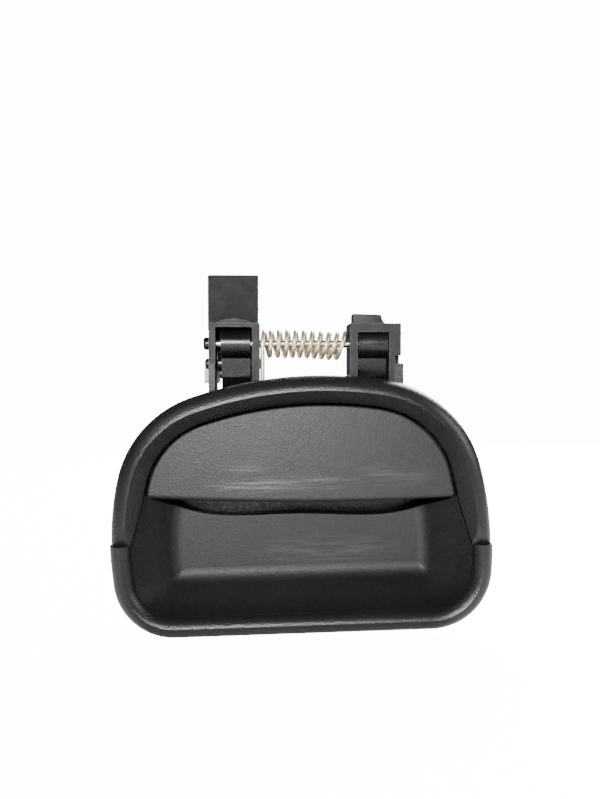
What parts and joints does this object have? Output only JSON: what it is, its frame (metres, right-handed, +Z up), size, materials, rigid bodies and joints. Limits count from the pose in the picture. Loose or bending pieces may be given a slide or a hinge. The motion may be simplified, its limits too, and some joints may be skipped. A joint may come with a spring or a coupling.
{
  "type": "car door handle",
  "caption": "D-shaped exterior car door handle: grained bezel with a pull-up paddle hinged on a steel pin above it, with return spring and release lever.",
  "frame": {"origin": "middle of the D-shaped bezel on the plane of the door skin (the gasket's back face)", "axes": "+X to the right as seen from outside the car, +Y into the door, +Z up"},
  "size_m": [0.1401, 0.0486, 0.1346],
  "materials": {
    "grained_black_plastic": "fine leather grain, satin",
    "smooth_black_plastic": "smooth, semi-matte",
    "glass_filled_nylon": "slightly grey, fine flow marks",
    "grey_acetal": "smooth, satin",
    "natural_nylon": "smooth, slightly waxy",
    "zinc_steel": "zinc plated",
    "yellow_zinc_spring": "pale yellow zinc plated wire",
    "pin_steel": "ground",
    "black_rubber": "matte"
  },
  "bodies": {
    "housing": {"bezel_housing": "grained_black_plastic", "rear_frame": "glass_filled_nylon", "rear_box": "smooth_black_plastic", "pin_end_cap": "smooth_black_plastic", "pocket_cover": "smooth_black_plastic", "hinge_pin": "pin_steel", "lever_pivot": "smooth_black_plastic", "flange_gasket": "black_rubber", "mounting_studs": "zinc_steel", "frame_screws": "zinc_steel", "cover_screws": "zinc_steel", "rest_bumpers": "black_rubber", "open_stops": "black_rubber", "return_spring": "yellow_zinc_spring"},
    "paddle": {"paddle_face": "grained_black_plastic", "paddle_carrier": "smooth_black_plastic", "knuckle_bushes": "grey_acetal", "carrier_screws": "zinc_steel"},
    "lever": {"release_lever": "smooth_black_plastic"},
    "clip": {"rod_clip": "natural_nylon"}
  },
  "joints": [
    {"name": "paddle_pull", "type": "hinge", "parent": "housing", "child": "paddle", "pos_m": [0, 0.0075, 0.0594], "axis": [-1, 0, 0], "range_deg": [0, 25], "stiffness_Nm_per_rad": 0.2, "deforming": ["return_spring"]},
    {"name": "lever_swing", "type": "hinge", "parent": "housing", "child": "lever", "pos_m": [-0.0309, 0.014, 0.052], "axis": [1, 0, 0], "range_deg": [0, 24]},
    {"name": "clip_swivel", "type": "hinge", "parent": "lever", "child": "clip", "pos_m": [-0.0309, 0.02818, 0.04899], "axis": [-1, 0, 0], "range_deg": [0, 24]}
  ],
  "couplings": [
    {"joint": "lever_swing", "follows": "paddle_pull", "ratio": 0.955},
    {"joint": "clip_swivel", "follows": "paddle_pull", "ratio": 0.955}
  ]
}
